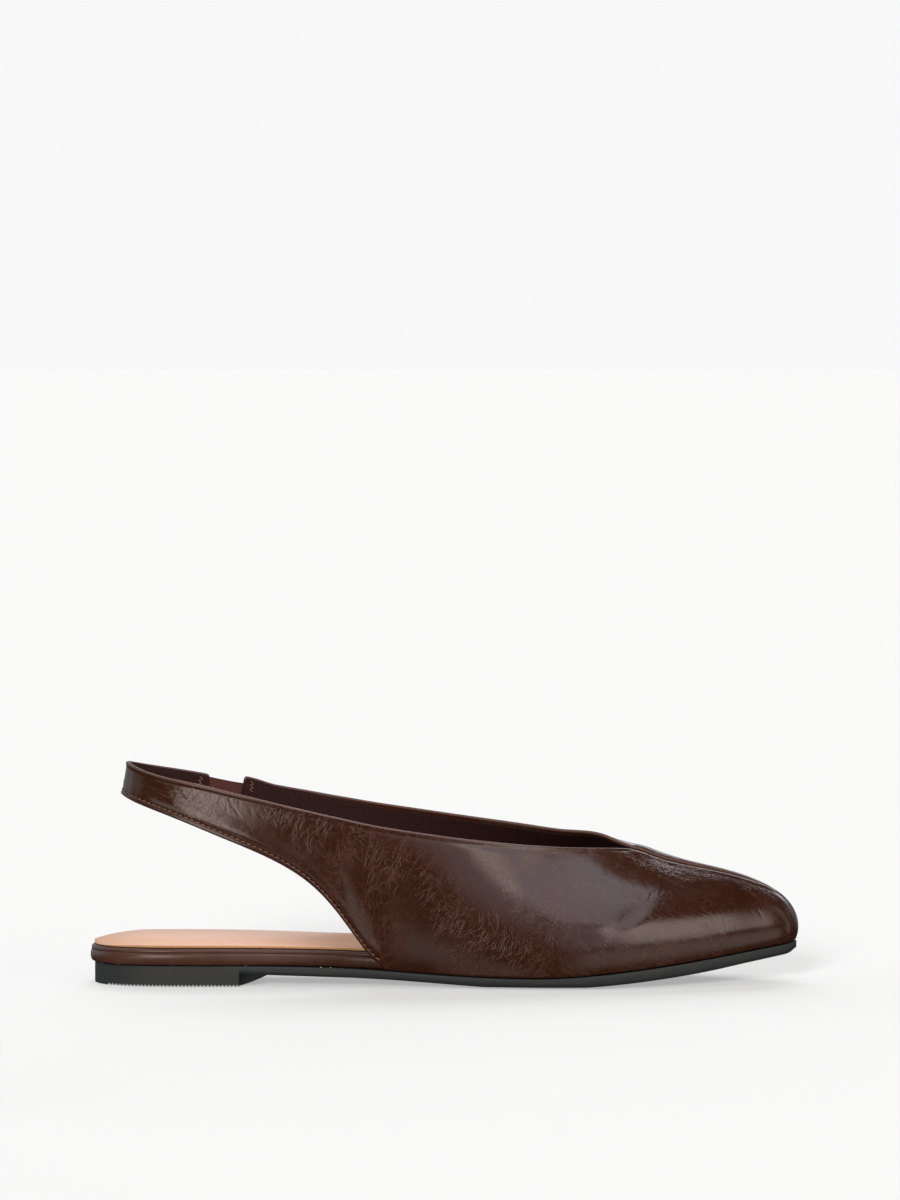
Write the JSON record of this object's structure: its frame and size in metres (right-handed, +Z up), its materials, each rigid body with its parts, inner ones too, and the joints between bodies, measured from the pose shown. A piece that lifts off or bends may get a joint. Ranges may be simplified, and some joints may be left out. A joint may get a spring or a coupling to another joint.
{
  "type": "slingback mule",
  "caption": "Flat leather slingback mule: narrow squared toe, V throat with a centre seam, sling strap with an elastic insert, open heel over a padded insole, low rubber sole.",
  "frame": {"origin": "on the floor, below the middle of the shoe's box", "axes": "+X from the heel to the toe, +Y to the inner side, +Z up"},
  "size_m": [0.2616, 0.0824, 0.0814],
  "materials": {
    "brown_leather": "polished, finely crinkled",
    "black_rubber": "matte, moulded",
    "peach_sock_lining": "smooth, padded",
    "brown_elastic": "ribbed, woven"
  },
  "bodies": {
    "root": {"outsole": "black_rubber", "covered_insole_board": "brown_leather", "sock_insole": "peach_sock_lining", "upper": "brown_leather", "elastic_insert": "brown_elastic"}
  },
  "joints": []
}
